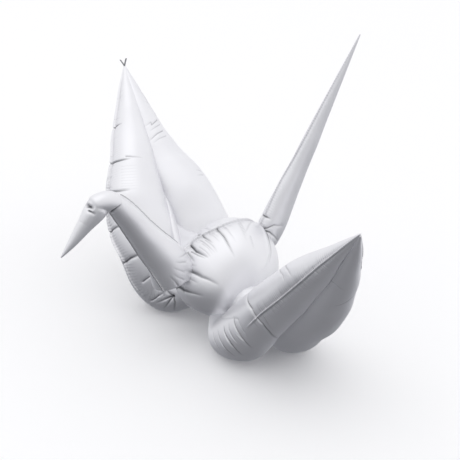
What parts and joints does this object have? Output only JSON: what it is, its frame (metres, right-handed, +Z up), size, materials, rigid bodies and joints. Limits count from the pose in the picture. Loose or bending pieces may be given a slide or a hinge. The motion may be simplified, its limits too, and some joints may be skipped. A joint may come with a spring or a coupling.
{
  "type": "foil balloon",
  "caption": "Foil balloon shaped like a folded paper crane: puffed body, raised two-lobed wings, bent head on a tapering neck and a long pointed tail.",
  "frame": {"origin": "middle of the outline, on the floor that the wing lobes stand on", "axes": "X from beak to tail, Y from the lower wing tip to the higher wing tip, Z up"},
  "size_m": [0.1382, 0.1934, 0.1204],
  "materials": {
    "pearl_foil": "white pearl foil, satin shine, finely wrinkled"
  },
  "bodies": {
    "root": {"crane_envelope": "pearl_foil"}
  },
  "joints": []
}
